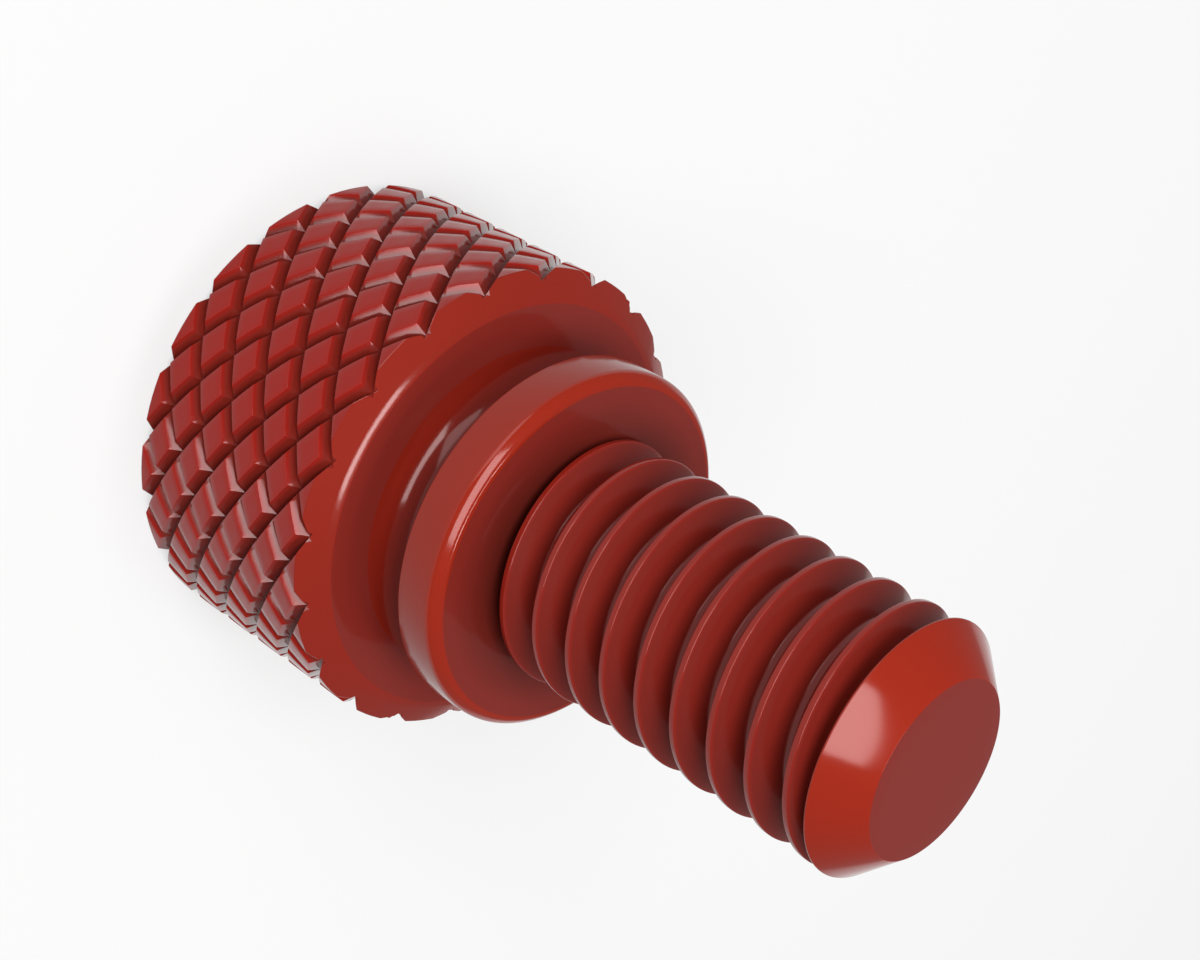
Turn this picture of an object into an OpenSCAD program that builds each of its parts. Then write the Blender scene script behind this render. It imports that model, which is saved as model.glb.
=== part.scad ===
// Knurled thumb screw, turned from one bar.
// It stands on the flat end of its head, with the thread pointing up along +Z.
// Length unit: millimetre.

/* [Head] */
// Diameter over the knurl
head_d = 7.9; // [7:0.1:14]
// Height of the head
head_h = 4.2; // [2.5:0.1:10]
// Diameter of the flat face under the head
head_face_d = 7; // [6.5:0.1:12]
// Height of the chamfer round that face
head_chamfer_h = 0.25; // [0.1:0.05:0.8]
// Radius of the edge between that chamfer and the face
head_edge_r = 0.25; // [0.05:0.05:0.4]

/* [Knurl] */
// Diamonds round the head
knurl_count = 20; // [14:1:32]
// Distance from one diamond to the next along the head
knurl_pitch = 0.8; // [0.5:0.05:1.4]
// Depth of the grooves between the diamonds
knurl_depth = 0.12; // [0.06:0.01:0.16]
// Included angle of the grooves
knurl_angle = 90; // [70:5:110]

/* [Neck and collar] */
// Smallest diameter of the neck
neck_d = 4.5; // [4.4:0.1:6]
// Width of the neck, from the head to the collar
neck_w = 1; // [0.5:0.1:3]
// Diameter of the collar
collar_d = 6; // [5.2:0.1:10]
// Thickness of the collar
collar_t = 0.8; // [0.5:0.1:3]
// Radius of the collar's front edge
collar_edge_r = 0.2; // [0.05:0.05:0.4]

/* [Thread] */
// Nominal diameter of the thread
thread_d = 4; // [3:0.5:5]
// Pitch of the thread
thread_pitch = 0.7; // [0.4:0.05:1]
// Length of the shank, from the collar to the tip
shank_l = 6.95; // [4:0.05:30]
// Clearance of the crests under the nominal diameter
thread_allowance = 0.022; // [0.005:0.001:0.06]
// Length of the plain rim at each end of the thread
rim_l = 0.05; // [0.02:0.01:0.3]
// Height of the 45 degree chamfer at the tip
tip_chamfer = 0.6; // [0.2:0.05:1]
// Angle at which the thread leaves the collar
thread_start = 126; // [0:1:359]

/* [Hidden] */
$fn = 96;

finish = [0.66, 0.17, 0.14];
sink = 0.3;                        // how far one turned section runs into the next

// Stations along the axis, from the flat end of the head
collar_z = head_h + neck_w;
shank_z = collar_z + collar_t;
tip_z = shank_z + shank_l;
chamfer_z = tip_z - tip_chamfer;

head_r = head_d / 2;
head_face_r = head_face_d / 2;
neck_r = neck_d / 2;
collar_r = collar_d / 2;
thread_r = thread_d / 2;
neck_fillet = min(neck_w / 2, collar_r - neck_r - 0.1);

// An arc about the point c, from angle a to angle b
function arc(c, r, a, b, steps = 12) =
    [for (i = [0 : steps]) let (t = a + (b - a) * i / steps) c + r * [cos(t), sin(t)]];

// A point at a radius, an angle and a height
function at(r, angle, z) = [r * cos(angle), r * sin(angle), z];

// The head before knurling. The edge between chamfer and face is rounded.
slope = atan2(head_chamfer_h, head_r - head_face_r);
edge_back = head_edge_r * tan(slope / 2);
module head_blank() {
    edge_centre = [head_face_r - edge_back, head_h - head_edge_r];
    rotate_extrude()
        polygon(concat(
            [[0, 0], [head_r, 0], [head_r, head_h - head_chamfer_h]],
            arc(edge_centre, head_edge_r, 90 - slope, 90, 6),
            [[0, head_h]]));
}

// Diamond knurl: rows of four-sided pyramids round the axis. Two families of V grooves cross
// at the pyramids' corners, and every second row is turned by half a diamond.
half_turn = 180 / knurl_count;
half_row = knurl_pitch / 2;
groove_r = head_r - knurl_depth;
diamond_w = 2 * PI * groove_r / knurl_count;
groove_gap = diamond_w * knurl_pitch / norm([diamond_w, knurl_pitch]);
apex_r = groove_r + groove_gap / 2 / tan(knurl_angle / 2);
first_row = -1;
last_row = ceil(head_h / half_row) + 2;
columns = 2 * knurl_count;
rows = last_row - first_row + 3;

// Corners and apexes alternate like the two colours of a chessboard
function knurl_point(i, j) =
    at((i + j) % 2 == 0 ? apex_r : groove_r, i * half_turn, (j + first_row - 1) * half_row);
function knurl_index(i, j) = j * columns + (i + columns) % columns;

module knurl_teeth() {
    points = [for (j = [0 : rows - 1]) for (i = [0 : columns - 1]) knurl_point(i, j)];
    ends = [[0, 0, points[0].z], [0, 0, points[len(points) - 1].z]];
    sides = [for (j = [1 : rows - 2]) for (i = [0 : columns - 1]) if ((i + j) % 2 == 0)
        let (apex = knurl_index(i, j), east = knurl_index(i + 1, j), west = knurl_index(i - 1, j),
             north = knurl_index(i, j + 1), south = knurl_index(i, j - 1))
        each [[apex, north, east], [apex, west, north], [apex, south, west], [apex, east, south]]];
    // Each end is a fan from the axis to the corners of the outermost row
    floor_fan = [for (i = [0 : columns - 1])
        let (a = i % 2 == 0 ? knurl_index(i, 1) : knurl_index(i, 0),
             b = i % 2 == 0 ? knurl_index(i + 1, 0) : knurl_index(i + 1, 1))
        [len(points), a, b]];
    top = (rows - 1) % 2;
    roof_fan = [for (i = [0 : columns - 1])
        let (a = (i + top) % 2 == 0 ? knurl_index(i, rows - 2) : knurl_index(i, rows - 1),
             b = (i + top) % 2 == 0 ? knurl_index(i + 1, rows - 1) : knurl_index(i + 1, rows - 2))
        [len(points) + 1, b, a]];
    polyhedron(concat(points, ends), concat(sides, floor_fan, roof_fan), convexity = 6);
}

module head() {
    intersection() {
        head_blank();
        knurl_teeth();
    }
}

// The neck curves out into the head and the collar, and the collar's front edge is rounded.
module neck_and_collar() {
    flare = neck_r + neck_fillet;
    rotate_extrude()
        polygon(concat(
            [[0, head_h - sink], [flare, head_h - sink]],
            arc([flare, head_h + neck_fillet], neck_fillet, 270, 180),
            arc([flare, collar_z - neck_fillet], neck_fillet, 180, 90),
            [[collar_r, collar_z]],
            arc([collar_r - collar_edge_r, shank_z - collar_edge_r], collar_edge_r, 0, 90),
            [[0, shank_z]]));
}

// Right-hand thread. Its crests are an eighth of the pitch wide, and its flanks meet at 60 degrees.
crest_r = thread_r - thread_allowance;
crest_w = thread_pitch / 8;
flank_h = 0.6134 * thread_pitch;
root_r = crest_r - flank_h;
flank_w = flank_h * tan(30);
root_w = thread_pitch - crest_w - 2 * flank_w;
turn_steps = 48;
turns = ceil((shank_l + sink) / thread_pitch) + 2;

// One turn's outline, as radius and height from the middle of the crest
turn_outline = [
    [crest_r, -crest_w / 2],
    [crest_r, crest_w / 2],
    [root_r, crest_w / 2 + flank_w],
    [root_r, crest_w / 2 + flank_w + root_w]];
outline_n = len(turn_outline);
column_n = turns * outline_n;

function thread_z(step) = shank_z + thread_pitch * (step / turn_steps - thread_start / 360 - 1);
function thread_point(step, k) =
    let (p = turn_outline[k % outline_n])
    at(p.x, 360 * step / turn_steps, thread_z(step) + floor(k / outline_n) * thread_pitch + p.y);
// After a full turn the helix meets the outline one pitch higher
function thread_index(step, k) =
    step < turn_steps ? step * column_n + k : k + outline_n;

module thread_helix() {
    points = [for (s = [0 : turn_steps - 1]) for (k = [0 : column_n - 1]) thread_point(s, k)];
    sides = [for (s = [0 : turn_steps - 1])
        for (k = [0 : column_n - 2 - (s == turn_steps - 1 ? outline_n : 0)])
        let (a = thread_index(s, k), b = thread_index(s + 1, k),
             c = thread_index(s + 1, k + 1), d = thread_index(s, k + 1))
        each [[a, c, b], [a, d, c]]];
    last = column_n - 1;
    low_ring = concat([for (s = [0 : turn_steps - 1]) thread_index(s, 0)],
                      [for (k = [outline_n : -1 : 1]) thread_index(0, k)]);
    high_ring = concat([for (s = [0 : turn_steps - 1]) thread_index(s, last)],
                       [for (k = [last - 1 : -1 : last - outline_n])
                           thread_index(turn_steps - 1, k)]);
    ends = [[0, 0, points[0].z], [0, 0, points[last].z]];
    ring_n = len(low_ring);
    low_fan = [for (i = [0 : ring_n - 1])
        [len(points), low_ring[i], low_ring[(i + 1) % ring_n]]];
    high_fan = [for (i = [0 : ring_n - 1])
        [len(points) + 1, high_ring[(i + 1) % ring_n], high_ring[i]]];
    polyhedron(concat(points, ends), concat(sides, low_fan, high_fan), convexity = 10);
}

// The helix is cut square at both ends, inside the collar and inside the tip's rim.
module thread() {
    low = shank_z - sink;
    intersection() {
        thread_helix();
        translate([0, 0, low])
            cylinder(r = 2 * thread_r, h = chamfer_z - rim_l / 2 - low);
    }
}

// A plain rim stands at each end of the thread, and the tip is chamfered.
module shank_ends() {
    translate([0, 0, shank_z - sink])
        cylinder(r = thread_r, h = sink + rim_l);
    translate([0, 0, chamfer_z - rim_l])
        cylinder(r = thread_r, h = rim_l);
    translate([0, 0, chamfer_z])
        cylinder(r1 = thread_r, r2 = thread_r - tip_chamfer, h = tip_chamfer);
}

module thumb_screw() {
    color(finish)
        union() {
            head();
            neck_and_collar();
            thread();
            shank_ends();
        }
}

thumb_screw();
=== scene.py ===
"""Looks of a knurled thumb screw.

The screw is one closed mesh, made in millimetres round the Z axis from its head, its neck with the
collar, and its threaded shank, and scaled to metres at the end. Five tones of one red anodising
dress it, set lighter or darker as painted light and shade, and each darkens into its recesses as
painted shade. A studio with a pale floor, three soft lights and the camera shows it.
"""

import logging
import math
from dataclasses import dataclass, field
from enum import Enum

import bmesh
import bpy
from mathutils import Matrix, Vector


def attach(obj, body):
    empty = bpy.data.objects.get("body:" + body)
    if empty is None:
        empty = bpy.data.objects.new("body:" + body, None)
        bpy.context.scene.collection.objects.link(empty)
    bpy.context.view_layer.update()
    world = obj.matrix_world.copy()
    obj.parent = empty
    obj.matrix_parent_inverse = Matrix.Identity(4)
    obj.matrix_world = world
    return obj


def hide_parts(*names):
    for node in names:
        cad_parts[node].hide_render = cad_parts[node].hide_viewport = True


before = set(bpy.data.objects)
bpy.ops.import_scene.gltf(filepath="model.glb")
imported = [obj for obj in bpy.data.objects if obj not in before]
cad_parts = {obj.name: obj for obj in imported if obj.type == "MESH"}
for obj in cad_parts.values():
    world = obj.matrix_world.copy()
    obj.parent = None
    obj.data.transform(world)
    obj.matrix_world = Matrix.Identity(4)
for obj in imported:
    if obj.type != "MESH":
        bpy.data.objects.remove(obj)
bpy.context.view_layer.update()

LOG = logging.getLogger("thumb_screw")
MM = 0.001
FULL_TURN = 2 * math.pi
AXIS = Vector((0, 0, 1))
ORIGIN = Vector((0, 0, 0))
MERGE = 2e-4  # vertices closer than this many millimetres become one
SAME = 1e-6  # measures closer than this count as equal
LEVEL = 0.9999  # a face is flat and square to the axis from this height of its normal on


class Zone(Enum):
    """Which finish a face of the screw takes. The value is the material's place on the mesh. The
    zones are one red anodising in tones that stand in for light and shade: the flat faces and the
    chamfer are darker as painted shade.
    """

    TURNED = 0
    KNURLED = 1
    THREADED = 2
    # painted shade: the flat faces square to the axis, in a darker tone
    FACED = 3
    # painted shade: the chamfer and its eased edges, in a darker tone
    BEVELLED = 4


# ---------------------------------------------------------------- mesh helpers


def arc(r: float, z: float, radius: float, start: float, end: float, steps: int) -> list[Vector]:
    """Points of an arc in the screw's half-section, where x is the radius and z the height.

    Args:
        r: Radius at which the arc's centre lies.
        z: Height of the arc's centre.
        radius: The arc's own radius.
        start: First angle in degrees.
        end: Last angle in degrees.
        steps: Number of chords.

    Returns:
        The points from start to end.
    """
    points = []
    for i in range(steps + 1):
        angle = math.radians(start + (end - start) * i / steps)
        points.append(Vector((r + radius * math.cos(angle), 0, z + radius * math.sin(angle))))
    return points


def wire(bm: bmesh.types.BMesh, points: list[Vector]) -> list:
    """Lays an open line of edges through the points and returns its vertices and edges."""
    verts = [bm.verts.new(p) for p in points]
    return verts + [bm.edges.new(pair) for pair in zip(verts, verts[1:])]


def everything(bm: bmesh.types.BMesh) -> list:
    """All vertices, edges and faces of a mesh."""
    return list(bm.verts) + list(bm.edges) + list(bm.faces)


def lathe(points: list[Vector], steps: int, zone: Zone) -> bmesh.types.BMesh:
    """Turns a half-section round the axis.

    Args:
        points: The half-section's points, in order.
        steps: Facets round the axis.
        zone: The finish of the faces.

    Returns:
        The turned surface, in a mesh of its own.
    """
    bm = bmesh.new()
    bmesh.ops.spin(
        bm, geom=wire(bm, points), cent=ORIGIN, axis=AXIS, dvec=ORIGIN, angle=FULL_TURN,
        steps=steps, use_merge=True, use_duplicate=False,
    )
    for face in bm.faces:
        face.material_index = zone.value
    return bm


def join(parts: list[bmesh.types.BMesh]) -> bmesh.types.BMesh:
    """Puts several meshes into one, welds what touches, and frees them."""
    whole = bmesh.new()
    for part in parts:
        carrier = bpy.data.meshes.new("section")
        part.to_mesh(carrier)
        part.free()
        whole.from_mesh(carrier)
        bpy.data.meshes.remove(carrier)
    bmesh.ops.remove_doubles(whole, verts=whole.verts, dist=MERGE)
    return whole


def faces_in(geometry: list) -> list[bmesh.types.BMFace]:
    """The faces among the geometry that an operator returns."""
    return [g for g in geometry if isinstance(g, bmesh.types.BMFace)]


def edges_in(geometry: list) -> list[bmesh.types.BMEdge]:
    """The edges among the geometry that an operator returns."""
    return [g for g in geometry if isinstance(g, bmesh.types.BMEdge)]


def verts_in(geometry: list) -> list[bmesh.types.BMVert]:
    """The vertices among the geometry that an operator returns."""
    return [g for g in geometry if isinstance(g, bmesh.types.BMVert)]


def rim_at(bm: bmesh.types.BMesh, z: float, low: float, high: float) -> list[bmesh.types.BMEdge]:
    """Open edges of the mesh at one height.

    Args:
        bm: The mesh.
        z: The height.
        low: Smallest radius of the edges' middles.
        high: Largest radius of the edges' middles.

    Returns:
        The boundary edges found.
    """
    found = []
    for edge in bm.edges:
        if edge.is_boundary and all(abs(v.co.z - z) < MERGE for v in edge.verts):
            middle = (edge.verts[0].co + edge.verts[1].co) / 2
            if low < middle.xy.length < high:
                found.append(edge)
    return found


def fill_ring(bm: bmesh.types.BMesh, z: float, low: float, high: float, zone: Zone) -> None:
    """Closes the flat ring between two open loops of one height.

    Args:
        bm: The mesh.
        z: The height.
        low: A radius a little inside the inner loop.
        high: A radius a little outside the outer loop.
        zone: The finish of the new faces.
    """
    made = bmesh.ops.triangle_fill(
        bm, use_beauty=True, use_dissolve=False, edges=rim_at(bm, z, low, high), normal=AXIS
    )
    for face in faces_in(made["geom"]):
        face.material_index = zone.value


# ---------------------------------------------------------------- the screw's sections


@dataclass
class KnurledHead:
    """The head: a short cylinder with a diamond knurl, cut flat behind and chamfered in front.

    Attributes:
        radius: Radius over the knurl.
        height: Height from the flat end to the face under the head.
        face_radius: Radius at which the chamfer would meet the face, were their edge not broken.
        chamfer_height: Height of the chamfer.
        face_edge: Reach of the broken edge along the chamfer and along the face.
        ring_radius: Inner radius of the ring of face that the head brings along.
        diamonds: Diamonds round the head.
        pitch: Height of a diamond.
        depth: Depth of the grooves.
        flank_angle: Angle between a groove's flank and the land.
        land_edge: Half the width over which a land's edge is eased.
        groove_blend: Difference of depth under which two crossing grooves blend.
        edge_break: Width of the other eased edges.
        stations: Distances from a groove's middle at which a diamond has a row of vertices.
    """

    radius: float = 3.95
    height: float = 4.2
    face_radius: float = 3.5
    chamfer_height: float = 0.25
    face_edge: tuple[float, float] = (0.105, 0.040)
    ring_radius: float = 3.3
    diamonds: int = 20
    pitch: float = 0.8
    depth: float = 0.178
    flank_angle: float = 57.0
    land_edge: float = 0.004
    groove_blend: float = 0.008
    edge_break: float = 0.008
    stations: tuple[float, ...] = (0.0, 0.06, 0.1115, 0.1155, 0.1195, 0.24)

    @property
    def gap(self) -> float:
        """Distance between two neighbouring grooves of one family."""
        across = FULL_TURN * (self.radius - self.depth) / self.diamonds
        return across * self.pitch / math.hypot(across, self.pitch)

    def groove(self, distance: float) -> float:
        """Depth of one V groove, with eased land edges.

        Args:
            distance: Distance from the groove's middle line.

        Returns:
            How far the surface lies under the land.
        """
        slope = math.tan(math.radians(self.flank_angle))
        half = self.depth / slope
        if distance < half - self.land_edge:
            return self.depth - slope * distance
        if distance < half + self.land_edge:
            return slope * (half + self.land_edge - distance) ** 2 / (4 * self.land_edge)
        return 0.0

    def sunk(self, u: float, v: float) -> float:
        """Depth under the land at a place in a diamond.

        Args:
            u: Place across the first family of grooves, from -0.5 to 0.5.
            v: Place across the second family.

        Returns:
            The deeper of the two grooves, blended where they meet.
        """
        a = self.groove((0.5 - abs(u)) * self.gap)
        b = self.groove((0.5 - abs(v)) * self.gap)
        deeper = max(a, b)
        blend = min(self.groove_blend, deeper)
        overlap = blend - abs(a - b)
        return deeper + overlap**2 / (4 * blend) if blend > 0 and overlap > 0 else deeper

    def diamond(self, bm: bmesh.types.BMesh) -> None:
        """Shapes one diamond of the knurl from a grid, with its middle at angle 0 and height 0."""
        half = [-0.5 + s / self.gap for s in self.stations]
        places = half + [0.0] + [-p for p in reversed(half)]
        count = len(places) - 1
        grid = bmesh.ops.create_grid(bm, x_segments=count, y_segments=count, size=0.5)["verts"]
        ridge = []
        for vert in grid:
            u, v = (places[round((c + 0.5) * count)] for c in vert.co.xy)
            if abs(abs(u) - abs(v)) < SAME:
                ridge.append(vert)
            r = self.radius - self.sunk(u, v)
            angle = (u + v) * math.pi / self.diamonds
            vert.co = (r * math.cos(angle), r * math.sin(angle), (v - u) * self.pitch / 2)
        bmesh.ops.connect_verts(bm, verts=ridge)

    def rows(self, bm: bmesh.types.BMesh) -> None:
        """Repeats the diamond round the axis and up the head, every second row half a step on."""
        bmesh.ops.spin(
            bm, geom=everything(bm), cent=ORIGIN, axis=AXIS, dvec=ORIGIN,
            angle=FULL_TURN * (1 - 1 / self.diamonds), steps=self.diamonds - 1,
            use_merge=False, use_duplicate=True,
        )
        ring = everything(bm)
        for row in range(1, math.ceil(2 * self.height / self.pitch) + 1):
            verts = verts_in(bmesh.ops.duplicate(bm, geom=ring)["geom"])
            turn = Matrix.Rotation(row % 2 * math.pi / self.diamonds, 3, "Z")
            bmesh.ops.rotate(bm, verts=verts, cent=ORIGIN, matrix=turn)
            bmesh.ops.translate(bm, verts=verts, vec=AXIS * row * self.pitch / 2)
        bmesh.ops.remove_doubles(bm, verts=bm.verts, dist=MERGE)

    def cut(self, bm: bmesh.types.BMesh, z: float, slope: float, keep_below: bool) -> list:
        """Cuts the knurl along a cone and returns the edges of the cut.

        The cone is sheared flat, cut as a plane, and sheared back.

        Args:
            bm: The mesh.
            z: The cone's height at the head's full radius.
            slope: How much the cone rises for each unit of radius towards the axis.
            keep_below: Whether the part under the cone stays.

        Returns:
            The edges along the cut.
        """
        for vert in bm.verts:
            vert.co.z += slope * (vert.co.xy.length - self.radius)
        made = bmesh.ops.bisect_plane(
            bm, geom=everything(bm), dist=SAME, plane_co=AXIS * z, plane_no=AXIS,
            clear_outer=keep_below, clear_inner=not keep_below,
        )["geom_cut"]
        for vert in bm.verts:
            vert.co.z -= slope * (vert.co.xy.length - self.radius)
        return edges_in(made)

    def step_in(self, bm: bmesh.types.BMesh, edges: list, r: float | None, z: float | None,
                inset: float = 0.0, slope: float = 0.0) -> list:
        """Extends an open rim by one ring.

        Args:
            bm: The mesh.
            edges: The rim's edges.
            r: Radius of the new rim, or None to step in by inset from where each point is.
            z: Height of the new rim, or None to follow the chamfer's cone.
            inset: Step towards the axis where r is None.
            slope: The cone's rise per unit of radius.

        Returns:
            The new rim's edges.
        """
        made = bmesh.ops.extrude_edge_only(bm, edges=edges)["geom"]
        for vert in verts_in(made):
            old = vert.co.xy.length
            new = old - inset if r is None else r
            vert.co.x *= new / old
            vert.co.y *= new / old
            cone = self.height - self.chamfer_height + (self.radius - new) * slope
            vert.co.z = cone if z is None else z
        # the chamfer and eased edges take the darker bevel tone: painted shade
        for face in faces_in(made):
            face.material_index = Zone.BEVELLED.value
        return [edge for edge in edges_in(made) if edge.is_boundary]

    def broken_edge(self, slope: float) -> list[Vector]:
        """The narrow facet that breaks the edge between chamfer and face, with eased corners."""
        corner = Vector((self.face_radius, 0, self.height))
        outwards = Vector((1, 0, -slope)).normalized()
        inwards = Vector((-1, 0, 0))
        low = corner + outwards * self.face_edge[0]
        high = corner + inwards * self.face_edge[1]
        along = (high - low).normalized()
        ease = self.edge_break
        return [low + outwards * ease, low + along * ease, high - along * ease,
                high + inwards * ease]

    def build(self) -> bmesh.types.BMesh:
        """Makes the head, open at the flat ring under it, in millimetres."""
        bm = bmesh.new()
        self.diamond(bm)
        self.rows(bm)
        for face in bm.faces:
            face.material_index = Zone.KNURLED.value
        slope = self.chamfer_height / (self.radius - self.face_radius)
        rim_z = self.height - self.chamfer_height
        front = self.cut(bm, rim_z - self.edge_break, slope, keep_below=True)
        back = self.cut(bm, self.edge_break, 0.0, keep_below=False)
        front = [e for e in front if e.is_valid]

        back = self.step_in(bm, back, None, 0.0, inset=self.edge_break)
        bmesh.ops.contextual_create(bm, geom=back)

        front = self.step_in(bm, front, None, None, inset=self.edge_break, slope=slope)
        for point in self.broken_edge(slope):
            front = self.step_in(bm, front, point.x, point.z)
        self.step_in(bm, front, self.ring_radius, self.height)
        return bm


@dataclass
class NeckAndCollar:
    """The neck under the head and the collar that bears on the work.

    Attributes:
        head_height: Height of the face under the head, where the neck starts.
        outer_radius: Outer radius of the ring of that face that the neck brings along.
        neck_radius: Smallest radius of the neck.
        neck_width: Width of the neck, which curves out into head and collar.
        collar_radius: Radius of the collar.
        collar_thickness: Thickness of the collar.
        front_edge: Reach of the collar's broken front edge.
        front_facet: Width of the flat in the middle of that edge.
        back_edge: Radius of the collar's back edge.
        bore_radius: Inner radius of the collar's face, just outside the thread.
        fillet_steps: Chords round the neck's hollow.
        back_steps: Chords round the back edge.
        front_steps: Chords on each side of the front edge's flat.
        steps: Facets round the axis.
    """

    head_height: float = 4.2
    outer_radius: float = 3.2
    neck_radius: float = 2.25
    neck_width: float = 1.0
    collar_radius: float = 3.0
    collar_thickness: float = 0.8
    front_edge: float = 0.2
    front_facet: float = 0.065
    back_edge: float = 0.02
    bore_radius: float = 2.1
    fillet_steps: int = 20
    back_steps: int = 6
    front_steps: int = 4
    steps: int = 180

    @property
    def face_z(self) -> float:
        """Height of the collar's face."""
        return self.head_height + self.neck_width + self.collar_thickness

    def half_section(self) -> list[Vector]:
        """The line from the face under the head to the collar's face."""
        fillet = self.neck_width / 2
        flare = self.neck_radius + fillet
        middle = self.head_height + fillet
        back = self.head_height + self.neck_width
        rim = self.collar_radius - self.back_edge
        ease = self.front_edge - self.front_facet * math.sqrt(0.5)
        front = self.collar_radius - self.front_edge
        low = self.face_z - self.front_edge
        return (
            [Vector((self.outer_radius, 0, self.head_height))]
            + arc(flare, middle, fillet, 270, 90, self.fillet_steps)
            + arc(rim, back + self.back_edge, self.back_edge, 270, 360, self.back_steps)
            + arc(self.collar_radius - ease, low, ease, 0, 45, self.front_steps)
            + arc(front, self.face_z - ease, ease, 45, 90, self.front_steps)
            + [Vector((self.bore_radius, 0, self.face_z))]
        )

    def build(self) -> bmesh.types.BMesh:
        """Turns the neck and the collar."""
        return lathe(self.half_section(), self.steps, Zone.TURNED)


@dataclass
class ThreadedShank:
    """The right-hand thread between the collar and the chamfered tip.

    Attributes:
        low: Height of the collar's face, where the thread starts.
        tip: Height of the tip.
        radius: Radius of the plain rim behind the tip's chamfer.
        crest_radius: Radius over the thread's crests.
        pitch: Rise of the thread in one turn.
        crest_share: Width of a crest, as a share of the pitch.
        depth_share: Depth of the thread, as a share of the pitch.
        flank_angle: Angle between a flank and a plane square to the axis.
        start_angle: Angle at which the thread leaves the collar.
        rim: Length of the plain rim.
        chamfer: Height of the chamfer at 45 degrees.
        crest_edge: How far the crests' corners are rounded.
        root_edge: How far the roots' corners are rounded.
        tip_edge: Radius of the chamfer's two edges.
        flat_ring: Radius of a ring in the tip's flat end, as a share of the end's radius.
        corner_segments: Chords round a corner of the thread.
        rim_segments: Chords round the back of the rim.
        edge_segments: Chords round an edge of the chamfer.
        turn_steps: Facets in one turn of the thread.
        tip_steps: Facets round the tip.
    """

    low: float = 6.0
    tip: float = 12.95
    radius: float = 2.0
    crest_radius: float = 1.978
    pitch: float = 0.7
    crest_share: float = 1 / 8
    depth_share: float = 0.6134
    flank_angle: float = 30.0
    start_angle: float = 126.0
    rim: float = 0.025
    chamfer: float = 0.6
    crest_edge: float = 0.012
    root_edge: float = 0.02
    tip_edge: float = 0.012
    flat_ring: float = 0.8
    corner_segments: int = 4
    rim_segments: int = 4
    edge_segments: int = 3
    turn_steps: int = 120
    tip_steps: int = 180

    @property
    def rim_z(self) -> float:
        """Height at which the plain rim behind the tip starts."""
        return self.tip - self.chamfer - self.rim

    def outline(self, bm: bmesh.types.BMesh) -> list:
        """One pitch of the thread's outline at angle 0, with rounded crest and root corners."""
        crest = self.crest_share * self.pitch
        flank = self.depth_share * self.pitch
        run = flank * math.tan(math.radians(self.flank_angle))
        root = self.pitch - crest - 2 * run
        z = self.low - self.pitch * (self.start_angle / 360 + 1)
        inner = self.crest_radius - flank
        corners = [
            (inner, z - crest / 2 - run - root / 2), (inner, z - crest / 2 - run),
            (self.crest_radius, z - crest / 2), (self.crest_radius, z + crest / 2),
            (inner, z + crest / 2 + run), (inner, z + crest / 2 + run + root / 2),
        ]
        line = wire(bm, [Vector((r, 0, height)) for r, height in corners])
        for pair, offset in (((2, 3), self.crest_edge), ((1, 4), self.root_edge)):
            bmesh.ops.bevel(
                bm, geom=[line[i] for i in pair], offset=offset, offset_type="OFFSET",
                segments=self.corner_segments, profile=0.5, affect="VERTICES", material=-1,
                clamp_overlap=True,
            )
        return list(bm.verts) + list(bm.edges)

    def helix(self) -> bmesh.types.BMesh:
        """Winds the outline once round, stacks the turns and cuts them square at both ends."""
        bm = bmesh.new()
        bmesh.ops.spin(
            bm, geom=self.outline(bm), cent=ORIGIN, axis=AXIS,
            dvec=AXIS * self.pitch / self.turn_steps, angle=FULL_TURN,
            steps=self.turn_steps, use_merge=False, use_duplicate=False,
        )
        turn = everything(bm)
        for count in range(1, math.ceil((self.tip - self.low) / self.pitch) + 2):
            verts = verts_in(bmesh.ops.duplicate(bm, geom=turn)["geom"])
            bmesh.ops.translate(bm, verts=verts, vec=AXIS * count * self.pitch)
        bmesh.ops.remove_doubles(bm, verts=bm.verts, dist=MERGE)
        for z, above in ((self.low, False), (self.rim_z, True)):
            bmesh.ops.bisect_plane(
                bm, geom=everything(bm), dist=SAME, plane_co=AXIS * z, plane_no=AXIS,
                clear_outer=above, clear_inner=not above,
            )
        bmesh.ops.remove_doubles(bm, verts=bm.verts, dist=MERGE)
        for face in bm.faces:
            face.material_index = Zone.THREADED.value
        return bm

    def tip_section(self) -> list[Vector]:
        """The line from the back of the rim over the chamfer to the middle of the tip."""
        edge, half = self.tip_edge, self.tip_edge / 2
        inner = self.radius - self.chamfer
        reach = edge * math.tan(math.radians(45 / 2))
        low = self.tip - self.chamfer - reach
        return (
            arc(self.radius - half, self.rim_z + half, half, 270, 360, self.rim_segments)
            + arc(self.radius - edge, low, edge, 0, 45, self.edge_segments)
            + arc(inner - reach, self.tip - edge, edge, 45, 90, self.edge_segments)
            + [Vector((inner * self.flat_ring, 0, self.tip)), Vector((0, 0, self.tip))]
        )

    def build(self) -> bmesh.types.BMesh:
        """Makes the thread and the tip, open where they meet the collar."""
        return join([self.helix(), lathe(self.tip_section(), self.tip_steps, Zone.TURNED)])


# ---------------------------------------------------------------- finishes


def new_group(name: str, inputs: dict[str, float], outputs: dict[str, str]) -> bpy.types.NodeTree:
    """Starts a shader node group.

    Args:
        name: The group's name.
        inputs: Name and default of each number that it takes.
        outputs: Name and socket type of each result.

    Returns:
        The group, holding only its input and output nodes.
    """
    group = bpy.data.node_groups.new(name, "ShaderNodeTree")
    face, number = group.interface, "NodeSocketFloat"
    for key, default in inputs.items():
        face.new_socket(name=key, in_out="INPUT", socket_type=number).default_value = default
    for key, kind in outputs.items():
        face.new_socket(name=key, in_out="OUTPUT", socket_type=kind)
    group.nodes.new("NodeGroupInput").name = "in"
    group.nodes.new("NodeGroupOutput").name = "out"
    return group


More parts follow.
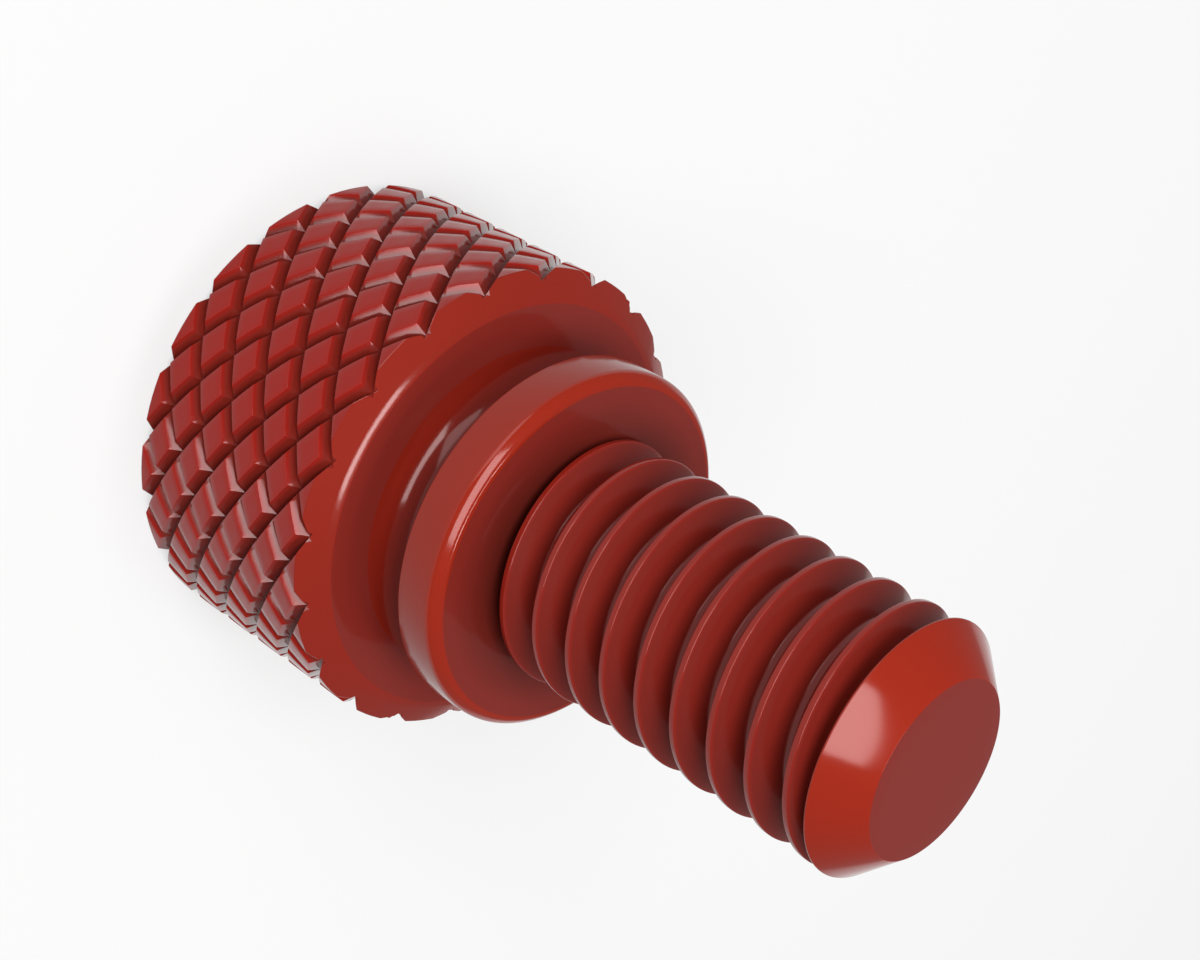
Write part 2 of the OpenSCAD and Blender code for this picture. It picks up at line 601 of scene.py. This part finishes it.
def maths(tree: bpy.types.NodeTree, operation: str, *values: object) -> bpy.types.NodeSocket:
    """Adds a Math node fed by numbers or sockets and returns its result."""
    node = tree.nodes.new("ShaderNodeMath")
    node.operation = operation
    for socket, value in zip(node.inputs, values):
        if isinstance(value, bpy.types.NodeSocket):
            tree.links.new(value, socket)
        else:
            socket.default_value = value
    return node.outputs[0]


def axis_distance(
    tree: bpy.types.NodeTree, x: bpy.types.NodeSocket, y: bpy.types.NodeSocket
) -> bpy.types.NodeSocket:
    """Adds the nodes that work out how far a place lies from the screw's axis."""
    squares = [maths(tree, "MULTIPLY", part, part) for part in (x, y)]
    return maths(tree, "SQRT", maths(tree, "ADD", *squares))


def turning_marks() -> bpy.types.NodeTree:
    """Group that gives the fine rings a lathe tool leaves round the axis."""
    tree = new_group(
        "turning_marks", {"Rings per mm": 14.0, "Raggedness": 0.35},
        {"Height": "NodeSocketFloat"},
    )
    nodes, links = tree.nodes, tree.links
    place = nodes.new("ShaderNodeTexCoord")
    parts = nodes.new("ShaderNodeSeparateXYZ")
    links.new(place.outputs["Object"], parts.inputs[0])
    x, y, z = parts.outputs
    radius = axis_distance(tree, x, y)
    rate = maths(tree, "MULTIPLY", nodes["in"].outputs["Rings per mm"], 1 / MM)
    line = nodes.new("ShaderNodeCombineXYZ")
    links.new(maths(tree, "MULTIPLY", radius, rate), line.inputs[0])
    links.new(maths(tree, "MULTIPLY", z, rate), line.inputs[2])
    drift = maths(tree, "MULTIPLY", maths(tree, "ADD", x, y), 1 / MM)
    links.new(maths(tree, "MULTIPLY", drift, nodes["in"].outputs["Raggedness"]), line.inputs[1])
    rings = nodes.new("ShaderNodeTexNoise")
    rings.inputs["Scale"].default_value = 1.0
    rings.inputs["Detail"].default_value = 2.0
    links.new(line.outputs[0], rings.inputs["Vector"])
    links.new(rings.outputs["Fac"], nodes["out"].inputs["Height"])
    return tree


def painted_recess_shade() -> bpy.types.NodeTree:
    """Group that masks painted shade in a recess: 0 at an open radius, rising to 1 at an inner
    one, between a low and a high end.
    """
    tree = new_group(
        "painted_recess_shade", {"Open radius": 1.98, "Deep radius": 1.55, "Low": 6.0, "High": 12.95},
        {"Depth": "NodeSocketFloat"},
    )
    nodes, links = tree.nodes, tree.links
    place = nodes.new("ShaderNodeTexCoord")
    parts = nodes.new("ShaderNodeSeparateXYZ")
    links.new(place.outputs["Object"], parts.inputs[0])
    x, y, z = (maths(tree, "DIVIDE", part, MM) for part in parts.outputs)
    radius = axis_distance(tree, x, y)
    limits = nodes["in"].outputs
    span = maths(tree, "SUBTRACT", limits["Open radius"], limits["Deep radius"])
    sunk = maths(tree, "DIVIDE", maths(tree, "SUBTRACT", limits["Open radius"], radius), span)
    inside = maths(tree, "MULTIPLY", maths(tree, "GREATER_THAN", z, limits["Low"]),
                   maths(tree, "LESS_THAN", z, limits["High"]))
    depth = maths(tree, "MULTIPLY", sunk, inside)
    depth.node.use_clamp = True
    links.new(depth, nodes["out"].inputs["Depth"])
    return tree


def etched_grain() -> bpy.types.NodeTree:
    """Group that gives the fine etched grain of an anodised surface and the dye's slow drift."""
    tree = new_group(
        "etched_grain", {"Grain per mm": 30.0, "Drift per mm": 0.35},
        {"Grain": "NodeSocketFloat", "Drift": "NodeSocketFloat"},
    )
    nodes, links = tree.nodes, tree.links
    place = nodes.new("ShaderNodeTexCoord")
    for key, out, detail in (("Grain per mm", "Grain", 3.0), ("Drift per mm", "Drift", 2.0)):
        noise = nodes.new("ShaderNodeTexNoise")
        noise.inputs["Detail"].default_value = detail
        links.new(place.outputs["Object"], noise.inputs["Vector"])
        scale = maths(tree, "MULTIPLY", nodes["in"].outputs[key], 1 / MM)
        links.new(scale, noise.inputs["Scale"])
        links.new(noise.outputs["Fac"], nodes["out"].inputs[out])
    return tree


@dataclass(frozen=True)
class RedAnodising:
    """Red dyed and sealed anodising over machined aluminium.

    Attributes:
        name: The material's name.
        colour: The dye's colour.
        pale: The colour to which the dye drifts.
        shade_colour: Painted shade: the darker colour laid down in a recess.
        recess: Open radius, inner radius, low and high end of the recess that takes the painted
            shade, in millimetres.
        roughness: Middle roughness of the sealed surface.
        roughness_span: How much the grain varies it.
        metallic: Share of bare metal that shows through.
        specular: Strength of the mirrored light.
        mark_height: Height of the turning marks in millimetres.
        grain_height: Height of the etched grain in millimetres.
        rings_per_mm: Turning marks to a millimetre.
    """

    name: str
    colour: tuple[float, float, float] = (0.258, 0.015, 0.005)
    pale: tuple[float, float, float] = (0.272, 0.017, 0.006)
    shade_colour: tuple[float, float, float] = (0.190, 0.012, 0.006)
    recess: tuple[float, float, float, float] = (3.1, 2.65, 4.2, 5.2)
    roughness: float = 0.13
    roughness_span: float = 0.03
    metallic: float = 0.03
    specular: float = 0.28
    mark_height: float = 0.00012
    grain_height: float = 0.0001
    rings_per_mm: float = 14.0

    def material(self, groups: dict[str, bpy.types.NodeTree]) -> bpy.types.Material:
        """Builds the material.

        Args:
            groups: The shared node groups by name.

        Returns:
            The finished material.
        """
        made = bpy.data.materials.new(self.name)
        made.use_nodes = True
        tree = made.node_tree
        nodes, links = tree.nodes, tree.links
        shader = nodes["Principled BSDF"]
        shader.inputs["Metallic"].default_value = self.metallic
        shader.inputs["Specular IOR Level"].default_value = self.specular

        marks = nodes.new("ShaderNodeGroup")
        marks.node_tree = groups["turning_marks"]
        marks.inputs["Rings per mm"].default_value = self.rings_per_mm
        grain = nodes.new("ShaderNodeGroup")
        grain.node_tree = groups["etched_grain"]

        dye = nodes.new("ShaderNodeMix")
        dye.data_type = "RGBA"
        dye.inputs["A"].default_value = (*self.colour, 1)
        dye.inputs["B"].default_value = (*self.pale, 1)
        links.new(grain.outputs["Drift"], dye.inputs["Factor"])
        # painted shade: the recess mask darkens the dye towards the recess's inner radius
        hollow = nodes.new("ShaderNodeGroup")
        hollow.node_tree = groups["painted_recess_shade"]
        for socket, value in zip(hollow.inputs, self.recess):
            socket.default_value = value
        dye_and_shade = nodes.new("ShaderNodeMix")
        dye_and_shade.data_type = "RGBA"
        dye_and_shade.inputs["B"].default_value = (*self.shade_colour, 1)
        links.new(hollow.outputs["Depth"], dye_and_shade.inputs["Factor"])
        links.new(dye.outputs["Result"], dye_and_shade.inputs["A"])
        links.new(dye_and_shade.outputs["Result"], shader.inputs["Base Color"])

        low = self.roughness - self.roughness_span / 2
        gloss = maths(tree, "MULTIPLY_ADD", grain.outputs["Grain"], self.roughness_span, low)
        links.new(gloss, shader.inputs["Roughness"])

        height = maths(
            tree, "ADD",
            maths(tree, "MULTIPLY", marks.outputs["Height"], self.mark_height * MM),
            maths(tree, "MULTIPLY", grain.outputs["Grain"], self.grain_height * MM),
        )
        bump = nodes.new("ShaderNodeBump")
        bump.inputs["Distance"].default_value = 1.0
        bump.inputs["Strength"].default_value = 1.0
        links.new(height, bump.inputs["Height"])
        links.new(bump.outputs["Normal"], shader.inputs["Normal"])
        return made


@dataclass
class ThumbScrew:
    """The whole screw: head, neck, collar, thread and tip as one closed mesh.

    Attributes:
        head: The knurled head.
        neck: The neck and the collar.
        shank: The threaded shank with its tip.
        finishes: The finish of each zone, its tone lighter or darker as painted light and shade.
        sharp_angle: Edges with more degrees than this stay sharp.
        slack: How far beyond its two loops the search for a ring's edges reaches.
        core_radius: A radius inside the thread's roots.
    """

    head: KnurledHead = field(default_factory=KnurledHead)
    neck: NeckAndCollar = field(default_factory=NeckAndCollar)
    shank: ThreadedShank = field(default_factory=ThreadedShank)
    # one red anodising in five tones: flat faces and chamfer darker as painted shade, knurl and
    # thread tones set to how light falls on them, each darkening into its recess as painted shade
    finishes: dict[Zone, RedAnodising] = field(default_factory=lambda: {
        Zone.TURNED: RedAnodising("red_turned"),
        Zone.KNURLED: RedAnodising(
            "red_knurled", mark_height=0.0, recess=(3.95, 3.87, 0.0, 4.2),
            colour=(0.270, 0.006, 0.002), pale=(0.285, 0.008, 0.003), shade_colour=(0.165, 0.013, 0.008),
        ),
        Zone.THREADED: RedAnodising(
            "red_threaded", recess=(1.985, 1.93, 6.0, 12.3),
            colour=(0.240, 0.013, 0.007), pale=(0.254, 0.015, 0.008), shade_colour=(0.178, 0.014, 0.009),
        ),
        Zone.FACED: RedAnodising(
            "red_shaded_flat", recess=(2.6, 1.6, 4.1, 6.1),
            colour=(0.182, 0.017, 0.012), pale=(0.190, 0.019, 0.014), shade_colour=(0.070, 0.009, 0.006),
        ),
        Zone.BEVELLED: RedAnodising(
            "red_shaded_bevel", colour=(0.220, 0.014, 0.007), pale=(0.232, 0.016, 0.008),
        ),
    })
    sharp_angle: float = 26.0
    slack: float = 0.02
    core_radius: float = 1.4

    def close(self, bm: bmesh.types.BMesh) -> None:
        """Fills the three flat rings between the sections and turns all faces outwards."""
        inner, outer = self.neck.outer_radius - self.slack, self.head.ring_radius + self.slack
        fill_ring(bm, self.head.height, inner, outer, Zone.TURNED)
        outer = self.neck.bore_radius + self.slack
        fill_ring(bm, self.neck.face_z, self.core_radius, outer, Zone.TURNED)
        fill_ring(bm, self.shank.rim_z, self.core_radius, self.shank.radius, Zone.TURNED)
        bmesh.ops.recalc_face_normals(bm, faces=bm.faces)

    def shade(self, bm: bmesh.types.BMesh) -> None:
        """Marks the sharp edges and gives the flat faces square to the axis a darker tone as
        painted shade.
        """
        limit = math.radians(self.sharp_angle)
        for edge in bm.edges:
            edge.smooth = edge.calc_face_angle(0.0) < limit
        for face in bm.faces:
            face.smooth = True
            # flat faces square to the axis take the darker tone: painted shade
            lathed = face.material_index in (Zone.TURNED.value, Zone.BEVELLED.value)
            if lathed and abs(face.normal.z) > LEVEL:
                face.material_index = Zone.FACED.value

    def build(self) -> bpy.types.Object:
        """Makes the screw's object, at the origin and in metres."""
        bm = join([self.head.build(), self.neck.build(), self.shank.build()])
        self.close(bm)
        self.shade(bm)
        open_edges = sum(not e.is_manifold for e in bm.edges)
        bmesh.ops.transform(bm, matrix=Matrix.Scale(MM, 4), verts=bm.verts)
        mesh = bpy.data.meshes.new("screw")
        bm.to_mesh(mesh)
        bm.free()
        made = bpy.data.objects.new("screw", mesh)
        bpy.context.scene.collection.objects.link(made)
        weighted = made.modifiers.new("face_weights", "WEIGHTED_NORMAL")
        weighted.mode = "FACE_AREA"
        weighted.keep_sharp = True
        LOG.info("screw: %d faces, %d open edges", len(mesh.polygons), open_edges)
        return made

    def dress(self, made: bpy.types.Object) -> None:
        """Gives the screw its finishes and ties it to the frame."""
        groups = {
            "turning_marks": turning_marks(), "etched_grain": etched_grain(),
            "painted_recess_shade": painted_recess_shade(),
        }
        for zone in Zone:
            made.data.materials.append(self.finishes[zone].material(groups))
        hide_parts("thumb_screw")
        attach(made, "root")


# ---------------------------------------------------------------- studio


@dataclass(frozen=True)
class SoftLight:
    """A rectangular soft light aimed at the screw.

    Attributes:
        name: The light's name.
        bearing: Direction in degrees, from the camera's own towards the camera's right.
        height: Height in degrees over the camera's level.
        width_angle: Width in degrees as the screw sees it.
        height_angle: Height in degrees as the screw sees it.
        radiance: Brightness of the light's face.
        roll: Turn in degrees about the line to the screw.
        distance: Distance from the screw in metres.
    """

    name: str
    bearing: float
    height: float
    width_angle: float
    height_angle: float
    radiance: float
    roll: float = 0.0
    distance: float = 0.25

    def place(self, aim: Vector, right: Vector, up: Vector) -> None:
        """Hangs the light and turns it to face the screw.

        Args:
            aim: The point that it faces.
            right: The camera's right, where bearing 90 lies.
            up: The camera's up, towards which the light's height counts.
        """
        side, lift = math.radians(self.bearing), math.radians(self.height)
        back = right.cross(up)
        away = right * math.sin(side) * math.cos(lift)
        away += back * math.cos(side) * math.cos(lift) + up * math.sin(lift)
        across = up.cross(away).normalized()
        turn = Matrix((across, away.cross(across), away)).transposed().to_4x4()
        lamp = bpy.data.lights.new(self.name, "AREA")
        lamp.shape = "RECTANGLE"
        lamp.size = 2 * self.distance * math.tan(math.radians(self.width_angle / 2))
        lamp.size_y = 2 * self.distance * math.tan(math.radians(self.height_angle / 2))
        lamp.energy = self.radiance * lamp.size * lamp.size_y * math.pi
        made = bpy.data.objects.new(self.name, lamp)
        bpy.context.scene.collection.objects.link(made)
        spin = Matrix.Rotation(math.radians(self.roll), 4, "Z")
        made.matrix_world = Matrix.Translation(aim + away * self.distance) @ turn @ spin


@dataclass
class Studio:
    """Pale floor, soft light and the camera.

    Attributes:
        aim: The point that the lights face, in metres.
        floor_size: Side of the square floor in metres.
        floor_drop: How far the floor lies under the screw, in metres.
        floor_colour: The floor's colour.
        floor_roughness: The floor's roughness.
        floor_glow: What the floor adds of its own where it is seen or mirrored.
        world_level: Strength of the even light from all round.
        lights: The soft lights.
        camera_place: The camera's place in millimetres.
        camera_right: The camera's right.
        camera_up: The camera's up.
        lens: Focal length in millimetres.
        sensor: Width of the sensor in millimetres.
        clip: Nearest and farthest distance that the camera sees, in metres.
    """

    aim: Vector = field(default_factory=lambda: Vector((0, 0, 0.0065)))
    floor_size: float = 1.2
    floor_drop: float = 0.00001
    floor_colour: tuple[float, float, float] = (0.30, 0.30, 0.30)
    floor_roughness: float = 0.9
    floor_glow: float = 0.57
    world_level: float = 0.28
    lights: tuple[SoftLight, ...] = (
        SoftLight("key", 15, -9, 25, 45, 9.0, roll=-22),
        SoftLight("edge_light", 56, -28, 8, 23, 17.0, roll=-16),
        SoftLight("fill", -12, 40, 42, 38, 2.9),
    )
    camera_place: tuple[float, float, float] = (-1.05071322, -27.57136298, 25.9753172)
    camera_right: tuple[float, float, float] = (-0.49970543, 0.51367769, 0.69744513)
    camera_up: tuple[float, float, float] = (-0.86619086, -0.29894702, -0.40042986)
    lens: float = 66.24
    sensor: float = 36.0
    clip: tuple[float, float] = (0.001, 10.0)

    def floor(self) -> None:
        """Lays the plain pale floor that the screw stands on."""
        bm = bmesh.new()
        bmesh.ops.create_grid(bm, x_segments=1, y_segments=1, size=self.floor_size / 2)
        bmesh.ops.translate(bm, verts=bm.verts, vec=-AXIS * self.floor_drop)
        mesh = bpy.data.meshes.new("floor")
        bm.to_mesh(mesh)
        bm.free()
        made = bpy.data.objects.new("floor", mesh)
        bpy.context.scene.collection.objects.link(made)
        finish = bpy.data.materials.new("pale_floor")
        finish.use_nodes = True
        tree = finish.node_tree
        shader = tree.nodes["Principled BSDF"]
        shader.inputs["Base Color"].default_value = (*self.floor_colour, 1)
        shader.inputs["Roughness"].default_value = self.floor_roughness
        shader.inputs["Specular IOR Level"].default_value = 0.0
        shader.inputs["Emission Color"].default_value = (1, 1, 1, 1)
        path = tree.nodes.new("ShaderNodeLightPath").outputs
        mirrored = maths(tree, "MAXIMUM", path["Is Glossy Ray"], path["Is Transmission Ray"])
        seen = maths(tree, "MAXIMUM", path["Is Camera Ray"], mirrored)
        glow = maths(tree, "MULTIPLY", seen, self.floor_glow)
        tree.links.new(glow, shader.inputs["Emission Strength"])
        mesh.materials.append(finish)

    def world(self) -> None:
        """Sets the even light that comes from all round."""
        world = bpy.data.worlds.new("studio")
        bpy.context.scene.world = world
        world.use_nodes = True
        back = world.node_tree.nodes["Background"]
        back.inputs["Color"].default_value = (1, 1, 1, 1)
        back.inputs["Strength"].default_value = self.world_level

    def camera(self) -> None:
        """Places the camera."""
        lens = bpy.data.cameras.new("camera")
        lens.lens = self.lens
        lens.sensor_width = self.sensor
        lens.clip_start, lens.clip_end = self.clip
        made = bpy.data.objects.new("camera", lens)
        bpy.context.scene.collection.objects.link(made)
        right, up = Vector(self.camera_right), Vector(self.camera_up)
        back = right.cross(up).normalized()
        up = back.cross(right)
        turn = Matrix((right, up, back)).transposed().to_4x4()
        made.matrix_world = Matrix.Translation(Vector(self.camera_place) * MM) @ turn
        bpy.context.scene.camera = made

    def build(self) -> None:
        """Sets up floor, light and camera."""
        self.floor()
        self.world()
        for light in self.lights:
            light.place(self.aim, Vector(self.camera_right), Vector(self.camera_up))
        self.camera()
        bpy.context.scene.view_settings.view_transform = "Standard"
        LOG.info("studio: %d lights", len(self.lights))


def main() -> None:
    """Builds the screw and the studio."""
    logging.basicConfig(level=logging.INFO, format="%(name)s: %(message)s")
    screw = ThumbScrew()
    screw.dress(screw.build())
    Studio().build()


if __name__ == "__main__":
    main()
